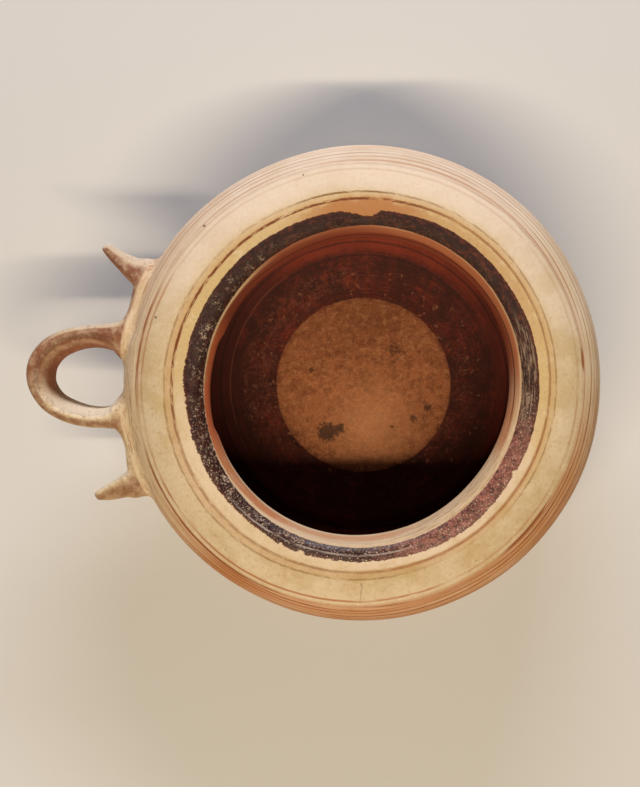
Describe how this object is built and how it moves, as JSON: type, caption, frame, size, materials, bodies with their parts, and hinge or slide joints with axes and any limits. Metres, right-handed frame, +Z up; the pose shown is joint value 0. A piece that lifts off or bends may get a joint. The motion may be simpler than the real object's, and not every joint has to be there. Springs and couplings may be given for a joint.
{
  "type": "exaleiptron",
  "caption": "Low, wide fired-clay bowl for scented oil, with a turned-in rim, a ring foot and a horizontal strap handle that ends in spurs.",
  "frame": {"origin": "on the plane the foot stands on, under the middle of the whole vessel, handle included", "axes": "+Z up along the bowl's axis, -X towards the handle"},
  "size_m": [0.2244, 0.186, 0.062],
  "materials": {
    "clay": "matt buff fired clay with a pale slip, worn brown and dark red painted bands and a dark red-brown inside"
  },
  "bodies": {
    "root": {"vessel": "clay"}
  },
  "joints": []
}
